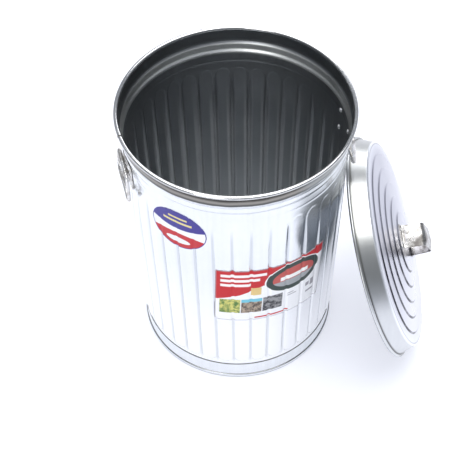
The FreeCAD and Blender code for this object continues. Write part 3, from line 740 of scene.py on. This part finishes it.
def bent_sheet(low, high, half_width, corner, start, gauge, dimples=()):
    """Sheet with rounded corners that lies on the wall, raised at the dimples, in a handle's frame."""
    edge = corner * (1 - np.cos(np.linspace(0, math.pi / 2, 7)))
    middle = np.linspace(low + corner, high - corner, 26)[1:-1]
    heights = np.concatenate([low + edge, middle, high - edge[::-1]])
    depth = np.maximum(np.maximum(low + corner - heights, heights - high + corner), 0)
    widths = half_width - (corner - np.sqrt(np.maximum(corner ** 2 - depth ** 2, 0)))
    across = np.linspace(-1, 1, 41)[None, :] * widths[:, None]
    level = band_radius(heights)[:, None] + start
    raised = np.zeros_like(across)
    for x, z in dimples:
        distance = np.hypot(across - x, heights[:, None] - z)
        raised = raised + 0.5 * smooth_step((8.5 - distance) / 3)
    sheets = []
    for offset in (gauge, 0):
        radius = level + offset
        lift = raised * (1 if offset else 0)
        depth_y = -np.sqrt(radius ** 2 - across ** 2) - lift
        sheets.append(np.stack([across, depth_y, np.broadcast_to(heights[:, None], across.shape)], axis=-1))
    return skin(sheets[0], sheets[1])


def soften(piece, width):
    """Rounds the sharp edges of a piece by a width in metres."""
    bevel = piece.modifiers.new("soft_edge", "BEVEL")
    bevel.width = width
    bevel.segments = 2
    bevel.limit_method = "ANGLE"
    bevel.angle_limit = math.radians(50)


def tube_on_x(outer, bore, half_length, middle_y, middle_z):
    """Short open tube along X with rounded lips."""
    lip = (outer - bore) * 0.45
    profile = rounded([(outer, -half_length, lip), (outer, half_length, lip),
                       (bore, half_length, lip), (bore, -half_length, lip)], 4)
    turn = Matrix.Translation((0, middle_y, middle_z)) @ Matrix.Rotation(math.pi / 2, 4, "Y")
    return placed(lathe(profile, 40, True), turn)


def rivet_head(radius, rise):
    """Domed head with a thin skirt, standing on the plane z = 0."""
    ball = (radius ** 2 + rise ** 2) / (2 * rise)
    profile = [(0.0005, -0.8), (radius * 0.96, -0.8), (radius, 0.05)]
    start = math.asin(radius / ball)
    for step in range(1, 9):
        angle = start * (1 - step / 8)
        profile.append((max(ball * math.sin(angle), 0.0005), ball * math.cos(angle) - ball + rise))
    return lathe(profile, 28, True)


def build_plate(side, turn, places):
    dimples = [(math.sin(angle) * 204.5, height) for angle, height in places]
    plate = bent_sheet(PLATE_LOW, PLATE_HIGH, PLATE_HALF_WIDTH, 6, PLATE_GAP, PLATE_GAUGE - 0.1, dimples)
    piece = make_piece(side + "_riveted_plate", *plate, FITTING_FINISH, "can", side + "_handle_plate", turn)
    soften(piece, 0.0003)


def build_sleeve(side, turn, seat):
    """Rolled sleeve for the wire with a flange above it and one below."""
    reach, width = 10.4, 6.9
    flanges = []
    for low in (KNUCKLE_HEIGHT - reach, KNUCKLE_HEIGHT + reach - width):
        flanges.append(bent_sheet(low, low + width, KNUCKLE_HALF_WIDTH, 1.5, seat, 1.1))
    sleeve = tube_on_x(4.4, 3.28, KNUCKLE_HALF_WIDTH, -KNUCKLE_RADIUS, KNUCKLE_HEIGHT)
    folded = join_parts(flanges + [sleeve])
    piece = make_piece(side + "_sleeve", *folded, FITTING_FINISH, "can", side + "_knuckle", turn)
    soften(piece, 0.0002)


def build_plate_studs(side, turn, seat, places):
    heads = []
    for angle, height in places:
        face = band_radius(height) + seat + 0.4
        inside = band_radius(height) - GAUGE - 0.35
        spin = Matrix.Rotation(angle, 4, "Z")
        out = spin @ Matrix.Translation((0, -face, height)) @ Matrix.Rotation(math.pi / 2, 4, "X")
        back = spin @ Matrix.Translation((0, -inside, height)) @ Matrix.Rotation(-math.pi / 2, 4, "X")
        heads.append(placed(rivet_head(RIVET_RADIUS, 1.9), out))
        heads.append(placed(rivet_head(RIVET_RADIUS, 2.1), back))
    studs = join_parts(heads)
    piece = make_piece(side + "_plate_studs", *studs, LIT_RIVET_FINISH, "can", side + "_plate_rivets", turn)


def build_bail(side, turn):
    hinge = Matrix.Translation((0, -KNUCKLE_RADIUS, KNUCKLE_HEIGHT))
    hang = turn @ hinge @ Matrix.Rotation(BAIL_HANG, 4, "X")
    top, foot, bend = 37, 53, 8
    corners = [(top, 0, bend), (foot, -BAIL_DROP, bend), (-foot, -BAIL_DROP, bend), (-top, 0, bend)]
    loop = wire_loop(refine(rounded(corners, 9), 6), BAIL_WIRE)
    body = side + "_handle"
    piece = make_piece(side + "_wire_loop", *loop, WIRE_FINISH, body, side + "_bail", hang)
    grip = tube_on_x(4.3, 3.25, 42, 0, -BAIL_DROP)
    piece = make_piece(side + "_rolled_grip", *grip, FITTING_FINISH, body, side + "_grip", hang)


def build_handle(side, azimuth):
    turn = facing(azimuth)
    seat = PLATE_GAP + PLATE_GAUGE
    places = [(sign * RIVET_ANGLE, height) for sign in (-1, 1) for height in RIVET_HEIGHTS]
    build_plate(side, turn, places)
    build_sleeve(side, turn, seat)
    build_plate_studs(side, turn, seat, places)
    build_bail(side, turn)


def refine(path, longest):
    """Closed path with its long straights divided."""
    result = []
    for index, point in enumerate(path):
        after = Vector(path[(index + 1) % len(path)])
        here = Vector(point)
        parts = max(1, math.ceil((after - here).length / longest))
        for part in range(parts):
            result.append(tuple(here.lerp(after, part / parts)))
    return result


def wire_loop(path, radius):
    """Round wire along a closed path in the XZ plane."""
    stations = []
    count = len(path)
    for index in range(count):
        before = Vector((*path[index - 1], 0))
        after = Vector((*path[(index + 1) % count], 0))
        ahead = (after - before).normalized()
        side = Vector((-ahead.y, ahead.x, 0))
        here = Vector((*path[index], 0))
        station = []
        for step in range(18):
            angle = TURN * step / 18
            spot = here + side * (radius * math.cos(angle))
            station.append((spot.x, radius * math.sin(angle), spot.y))
        stations.append(station)
    return sweep(stations, True)


# ---- lid

def lid_matrix():
    """Places the lid, whose own Z is its axis, where it leans on the bin."""
    away = outward(LID_AZIMUTH)
    axis = away * math.cos(LID_LEAN) + Vector((0, 0, math.sin(LID_LEAN)))
    back = Vector((0, 0, 1)).cross(away)
    slope = axis.cross(back)
    lowest = LID_HEM - LID_TUBE
    floor = lowest * math.cos(LID_LEAN) + LID_TUBE - LID_TUBE * math.sin(LID_LEAN)
    base = away * LID_STAND_OFF + back * LID_SIDE_SHIFT + Vector((0, 0, floor))
    turn = Matrix((back, slope, axis)).transposed().to_4x4()
    return Matrix.Translation(base) @ turn @ Matrix.Rotation(LID_TURN, 4, "Z")


def lid_profile():
    """Half section of the lid from the centre of its top, round the hem and back underneath."""
    rings = []
    for index in range(RING_COUNT - 1, -1, -1):
        radius = RING_FIRST + RING_PITCH * index
        foot = LID_SHOULDER_HEIGHT + (RING_COUNT - 1 - index) * RING_STEP
        foot += 8 * (LID_SHOULDER - radius) / (LID_SHOULDER - RING_FIRST)
        rings.append((radius + 1.5, foot, 1.2))
        rings.append((radius - 1.5, foot + RING_STEP, 1.2))
    top = [(0.001, LID_CROWN, 0)]
    top += rings[::-1]
    top += [(LID_SHOULDER, LID_SHOULDER_HEIGHT, 6), (217.1, 5.5, 0)]
    upper = rounded(top, 5, closed=False)
    hem = circle(LID_HEM - LID_TUBE, LID_TUBE, LID_TUBE, 135, -195, 22)
    under = [(216.3, 4.6, 0), (LID_SHOULDER - 0.9, LID_SHOULDER_HEIGHT - GAUGE, 5.2)]
    under += [(radius, height - GAUGE, bend) for radius, height, bend in rings]
    under += [(0.001, LID_CROWN - GAUGE, 0)]
    return upper + hem + rounded(under, 5, closed=False)


def strap_outline(climb):
    """Cross section of the strap: flat at climb 0, with a low ridge along its middle at 1."""
    bottom = []
    for step in range(13):
        share = -1 + step / 6
        roof = STRAP_RIDGE * (1 - abs(share))
        soft = STRAP_RIDGE * (1 - math.sqrt(share * share + 0.004))
        bottom.append((STRAP_HALF_WIDTH * share, max(min(roof, soft), 0) * climb))
    top = [(x, rise + STRAP_GAUGE) for x, rise in bottom]
    edge = STRAP_GAUGE / 2
    return bottom + [(STRAP_HALF_WIDTH, edge)] + top[::-1] + [(-STRAP_HALF_WIDTH, edge)]


def strap_sections():
    """Sections of the lid's strap handle from one foot to the other."""
    crown = LID_CROWN + 0.05
    rise, bend = 42, 9
    path = rounded([(-52, 0, 0), (-36, 0, 4), (-31, rise, bend), (31, rise, bend), (36, 0, 4), (52, 0, 0)],
                   8, closed=False)
    full = []
    for index, point in enumerate(path[:-1]):
        here, after = Vector(point), Vector(path[index + 1])
        parts = max(1, math.ceil((after - here).length / 4))
        full += [here.lerp(after, part / parts) for part in range(parts)]
    full.append(Vector(path[-1]))
    stations = []
    for index, here in enumerate(full):
        ahead = (full[min(index + 1, len(full) - 1)] - full[max(index - 1, 0)]).normalized()
        normal = Vector((-ahead.y, ahead.x))
        station = []
        for x, lift in strap_outline(float(smooth_step(here.y / 9))):
            spot = here + normal * lift
            station.append((x, spot.x, crown + spot.y))
        stations.append(station)
    return stations


def finish_underside(piece, matrix):
    """Gives the lid's inner faces a darker copy of the metal: painted shade."""
    axis = Vector((matrix[0][2], matrix[1][2], matrix[2][2]))
    centre = matrix.translation * MM
    piece.data.materials.append(SHADED_UNDERSIDE_FINISH)
    for face in piece.data.polygons:
        arm = face.center - centre
        height = arm.dot(axis) / MM
        across = arm - axis * arm.dot(axis)
        out = across.length / MM
        downward = face.normal.dot(axis) < -0.3
        skirt = face.normal.dot(across) < 0 and out > 195 and height < LID_SHOULDER_HEIGHT
        if height > 3.4 and out < 217 and (downward or skirt):
            face.material_index = 1


def build_lid():
    matrix = lid_matrix()
    finish = galvanised("galvanised_lid", (0.84, 0.86, 0.89), (0.77, 0.79, 0.83), 0.27, lid_painted_shading)
    piece = make_piece("ringed_lid", *lathe(lid_profile(), 360, True), finish, "lid", "lid_shell", matrix)
    finish_underside(piece, matrix)

    strap = sweep(strap_sections(), False)
    piece = make_piece("ridged_strap", *strap, SHADED_STRAP_FINISH, "lid", "lid_handle", matrix, crease=55)
    soften(piece, 0.0003)

    heads = []
    for x in (-13, 13):
        for y in (-44, 44):
            over = Matrix.Translation((x, y, LID_CROWN + STRAP_GAUGE + 0.05))
            under = Matrix.Translation((x, y, LID_CROWN - GAUGE)) @ Matrix.Rotation(math.pi, 4, "X")
            heads += [placed(rivet_head(STRAP_RIVET_RADIUS, 1.7), place) for place in (over, under)]
    piece = make_piece("strap_studs", *join_parts(heads), LIT_RIVET_FINISH, "lid", "lid_handle_rivets", matrix)


# ---- printed labels

# Places in the prints are shares of a paper's width (u) and height (v).

def bar(u, v, left, right, low, high, soft=0.004):
    """1 inside a rectangle of the print, 0 outside."""
    across = u.ramp(left - soft, left + soft) * u.ramp(right - soft, right + soft, 1, 0)
    return across * v.ramp(low - soft, low + soft) * v.ramp(high - soft, high + soft, 1, 0)


def oval(u, v, x, y, half_width, half_height, soft=0.02):
    """1 inside an ellipse of the print, 0 outside."""
    distance = ((u - x) / half_width).power(2) + ((v - y) / half_height).power(2)
    return distance.ramp(1 - soft, 1 + soft, 1, 0)


def paper_finish(name):
    """Smooth paper with a slight wave and fibres."""
    finish = Finish(name, 0.0)
    finish.hold("Specular IOR Level", 0.25)
    fibre = finish.noise(1300, 3)
    wave = finish.noise(26, 2)
    finish.set("Roughness", wave.ramp(0.3, 0.7, 0.34, 0.46) + fibre * 0.05)
    finish.bump(wave * 2 + fibre * 0.2, 0.00016)
    return finish


PAPER_WHITE = ((0.83, 0.84, 0.87), (0.90, 0.90, 0.92))
PRINT_RED = (0.52, 0.016, 0.022)
PRINT_VIOLET = (0.055, 0.045, 0.27)
PRINT_YELLOW = (0.70, 0.52, 0.22)
PRINT_GREEN_BLACK = (0.030, 0.050, 0.045)


def paper_back():
    finish = paper_finish("paper_back")
    finish.set("Base Color", finish.mix(finish.noise(700, 2), (0.80, 0.80, 0.82), (0.88, 0.88, 0.90)))
    return finish.material


def plain_paper(finish):
    return finish.mix(finish.noise(700, 2).ramp(0.3, 0.7), *PAPER_WHITE)


def label_oval(finish, tone, u, v):
    """Dark oval with a pale rim, a red upper field, a grey lower one and a pale bar."""
    place = (0.693, 0.71)
    tone = finish.mix(oval(u, v, *place, 0.275, 0.262), tone, (0.88, 0.88, 0.88))
    tone = finish.mix(oval(u, v, *place, 0.262, 0.248), tone, PRINT_GREEN_BLACK)
    inner = oval(u, v, *place, 0.205, 0.170)
    tone = finish.mix(inner, tone, (0.50, 0.09, 0.08))
    tone = finish.mix(inner * v.ramp(0.655, 0.665, 1, 0), tone, (0.34, 0.36, 0.38))
    return finish.mix(bar(u, v, 0.56, 0.83, 0.675, 0.745, 0.006) * inner, tone, (0.90, 0.90, 0.88))


def label_pictures(finish, tone, u, v):
    """Three blotchy colour fields in a row, the middle one with a pale blue top."""
    low, high = 0.159, 0.437
    blotch = finish.noise(120, 4) * 0.7 + finish.noise(420, 2) * 0.3
    pictures = (
        (0.041, 0.220, (0.10, 0.20, 0.05), (0.66, 0.62, 0.18)),
        (0.228, 0.407, (0.09, 0.07, 0.06), (0.42, 0.34, 0.26)),
        (0.415, 0.593, (0.03, 0.03, 0.04), (0.30, 0.30, 0.31)))
    for left, right, dark, light in pictures:
        field = finish.mix(blotch.ramp(0.40, 0.60), dark, light)
        tone = finish.mix(bar(u, v, left, right, low, high), tone, field)
    return finish.mix(bar(u, v, 0.228, 0.407, 0.375, high), tone, (0.16, 0.52, 0.66))


def label_finish():
    finish = paper_finish("printed_front_label")
    u, v, _ = finish.axes("UV")
    slope = v - 0.425 - u.smaller(0.21) * 0.471 - (u - 0.21).larger(0.0).smaller(0.20) * 0.78
    red_area = slope.ramp(-0.006, 0.006) * u.ramp(0.60, 0.61, 1, 0)
    corner = (v - 0.80 - (u - 0.60) * 0.10).ramp(-0.006, 0.006) * u.ramp(0.59, 0.60)
    tone = finish.mix(red_area.larger(corner), plain_paper(finish), PRINT_RED)
    for right, low in ((0.43, 0.875), (0.375, 0.785), (0.30, 0.695)):
        tone = finish.mix(bar(u, v, 0.045, right, low, low + 0.05) * 0.92, tone, (0.92, 0.90, 0.88))
    tone = finish.mix(bar(u, v, 0.305, 0.394, 0.51, 0.655), tone, PRINT_YELLOW)
    tone = label_oval(finish, tone, u, v)
    tone = label_pictures(finish, tone, u, v)
    small_marks = (
        (0.83, 0.87, 0.33, 0.40), (0.885, 0.93, 0.30, 0.42), (0.84, 0.93, 0.20, 0.235),
        (0.64, 0.70, 0.37, 0.385), (0.64, 0.73, 0.33, 0.345))
    for left, right, low, high in small_marks:
        tone = finish.mix(bar(u, v, left, right, low, high) * 0.75, tone, (0.14, 0.13, 0.16))
    tone = finish.mix(bar(u, v, 0.35, 0.66, 0.035, 0.062), tone, PRINT_RED)
    border = bar(u, v, 0.010, 0.990, 0.014, 0.986, 0.002).ramp(0, 1, 0.65, 0)
    finish.set("Base Color", finish.mix(border, tone, (0.30, 0.30, 0.33)))
    return finish.material


def sticker_finish():
    finish = paper_finish("printed_oval_sticker")
    u, v, _ = finish.axes("UV")
    bow = (u - 0.5).power(2)
    tone = finish.mix((v - bow * 0.35).ramp(0.515, 0.525), plain_paper(finish), PRINT_VIOLET)
    for left, right, low, high in ((0.34, 0.68, 0.80, 0.845), (0.24, 0.76, 0.68, 0.735)):
        tone = finish.mix(bar(u, v, left, right, low, high), tone, (0.72, 0.62, 0.28))
    tone = finish.mix((v + bow * 0.30).ramp(0.395, 0.405, 1, 0), tone, (0.52, 0.03, 0.04))
    tone = finish.mix(oval(u, v, 0.5, 0.20, 0.22, 0.075), tone, (0.82, 0.82, 0.84))
    border = oval(u, v, 0.5, 0.5, 0.485, 0.482, 0.01).ramp(0, 1, 1, 0)
    finish.set("Base Color", finish.mix(border, tone, PRINT_VIOLET))
    return finish.material


def print_share(spot, azimuth, height, tilt, half_width, half_height):
    """Where a point of a paper lies on its print, from 0 to 1 across and up."""
    around = math.degrees(math.atan2(spot.x, -spot.y)) - azimuth
    side = PAPER_RADIUS * math.sin(math.radians(around))
    level = spot.z - height
    along = side * math.cos(tilt) - level * math.sin(tilt)
    upward = side * math.sin(tilt) + level * math.cos(tilt)
    turned = math.asin(max(-1, min(1, along / PAPER_RADIUS)))
    widest = math.asin(half_width / PAPER_RADIUS)
    return 0.5 + turned / (2 * widest), 0.5 + upward / (2 * half_height)


def paper_piece(name, replaced, material, across, up, place):
    """Sheet on the wall from grids of sideways and upward offsets, with its print coordinates."""
    azimuth, height = place[:2]
    around = azimuth + np.degrees(np.arcsin(across / PAPER_RADIUS))
    level = height + up
    crest = band_radius(level) + crest_depth(level)
    pressed_down = np.maximum(smooth_step((level - 462) / 24), smooth_step((np.abs(up) - 60) / 16))
    cling = 0.45 + 0.55 * pressed_down
    radius = crest - cling * (crest - wall_radius(around, level))
    sheets = [on_wall(around, radius + gap, level) for gap in (0.55, 0.25)]
    piece = make_piece(name, *skin(*sheets), material, "can", replaced)
    line_with(piece, PAPER_BACK)
    layer = piece.data.uv_layers.new(name="print")
    for loop in piece.data.loops:
        spot = piece.data.vertices[loop.vertex_index].co / MM
        layer.data[loop.index].uv = print_share(spot, *place)


PAPER_BACK = paper_back()


def build_labels():
    place = (LABEL_AZIMUTH, LABEL_HEIGHT, LABEL_TILT, LABEL_HALF_WIDTH, LABEL_HALF_HEIGHT)
    flat_x, flat_z = np.meshgrid(np.linspace(-LABEL_HALF_WIDTH, LABEL_HALF_WIDTH, 169),
                                 np.linspace(-LABEL_HALF_HEIGHT, LABEL_HALF_HEIGHT, 40))
    across = flat_x * math.cos(LABEL_TILT) + flat_z * math.sin(LABEL_TILT)
    up = -flat_x * math.sin(LABEL_TILT) + flat_z * math.cos(LABEL_TILT)
    paper_piece("front_label_print", "front_label", label_finish(), across, up, place)

    place = (STICKER_AZIMUTH, STICKER_HEIGHT, 0, STICKER_HALF_WIDTH, STICKER_HALF_HEIGHT)
    turn, reach = np.meshgrid(np.linspace(-1, 1, 73), np.linspace(-1, 1, 49))
    across = STICKER_HALF_WIDTH * turn * np.sqrt(1 - reach ** 2 / 2)
    up = STICKER_HALF_HEIGHT * reach * np.sqrt(1 - turn ** 2 / 2)
    paper_piece("oval_sticker_print", "oval_sticker", sticker_finish(), across, up, place)


# ---- remaining CAD pieces

def finish_cad_nodes():
    finishes = {
        "rim_wire": (WIRE_FINISH, "plated_wire"),
        "lid_hem_wire": (WIRE_FINISH, "plated_wire"),
        "side_seam": (SHADED_INSIDE_FINISH, "galvanised_sheet"),
    }
    for name, (material, finish_slot) in finishes.items():
        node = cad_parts[name]
        node.data.materials.clear()
        node.data.materials.append(material)


# ---- studio

FLOOR_REACH = 9.0
FLOOR_DROP = 0.0004


def build_floor():
    """Pale sheet that glows faintly, as a back-lit table does."""
    finish = Finish("pale_floor", 0.0)
    cloud = finish.noise(1.5, 2)
    finish.set("Base Color", finish.mix(cloud, (0.44, 0.445, 0.46), (0.46, 0.465, 0.48)))
    finish.hold("Roughness", 0.9)
    finish.hold("Specular IOR Level", 0.1)
    finish.hold("Emission Color", (0.88, 0.90, 1.0, 1))
    finish.hold("Emission Strength", 0.62)
    mesh = bpy.data.meshes.new("floor")
    corners = [(-1, -1), (1, -1), (1, 1), (-1, 1)]
    mesh.from_pydata([(x * FLOOR_REACH, y * FLOOR_REACH, 0) for x, y in corners], [], [(0, 1, 2, 3)])
    mesh.materials.append(finish.material)
    floor = add_object("floor", mesh)
    floor.location.z = -FLOOR_DROP


def area_light(name, place, target, width, energy, colour):
    lamp = bpy.data.lights.new(name, "AREA")
    lamp.size = width
    lamp.energy = energy
    lamp.color = colour
    light = add_object(name, lamp)
    light.location = place
    light.rotation_euler = (Vector(target) - Vector(place)).to_track_quat("-Z", "Y").to_euler()


def build_lights():
    world = bpy.data.worlds.new("studio")
    bpy.context.scene.world = world
    world.use_nodes = True
    backdrop = world.node_tree.nodes["Background"]
    backdrop.inputs["Color"].default_value = (0.86, 0.91, 1.0, 1)
    backdrop.inputs["Strength"].default_value = 0.50
    area_light("overhead_softbox", (0.1, 0.2, 3.6), (0.1, 0, 0.2), 3.4, 190, (1.0, 1.0, 1.0))
    area_light("front_softbox", (-1.3, -3.4, 1.5), (0, 0, 0.3), 1.6, 36, (0.98, 0.99, 1.0))
    area_light("back_softbox", (0.8, 3.4, 1.6), (0.1, 0, 0.2), 2.0, 40, (0.97, 0.98, 1.0))


CAMERA_PLACE = Vector((-0.00039, -1.46173, 2.00935))
CAMERA_TARGET = Vector((-0.00039, 0.0, 0.21165))
CAMERA_ROLL = -0.0112
CAMERA_LENS = 87.86
CAMERA_SENSOR = 36


def build_camera():
    ahead = (CAMERA_TARGET - CAMERA_PLACE).normalized()
    right = ahead.cross(Vector((0, 0, 1))).normalized()
    up = right.cross(ahead)
    x_axis = right * math.cos(CAMERA_ROLL) + up * math.sin(CAMERA_ROLL)
    y_axis = up * math.cos(CAMERA_ROLL) - right * math.sin(CAMERA_ROLL)
    lens = bpy.data.cameras.new("camera")
    lens.sensor_width = CAMERA_SENSOR
    lens.lens = CAMERA_LENS
    camera = add_object("camera", lens)
    turn = Matrix((x_axis, y_axis, -ahead)).transposed().to_4x4()
    camera.matrix_world = Matrix.Translation(CAMERA_PLACE) @ turn
    bpy.context.scene.camera = camera


build_body()
build_base()
build_handle("left", LEFT_AZIMUTH)
build_handle("right", RIGHT_AZIMUTH)
build_lid()
build_labels()
finish_cad_nodes()
build_floor()
build_lights()
build_camera()
bpy.context.scene.view_settings.view_transform = "Standard"
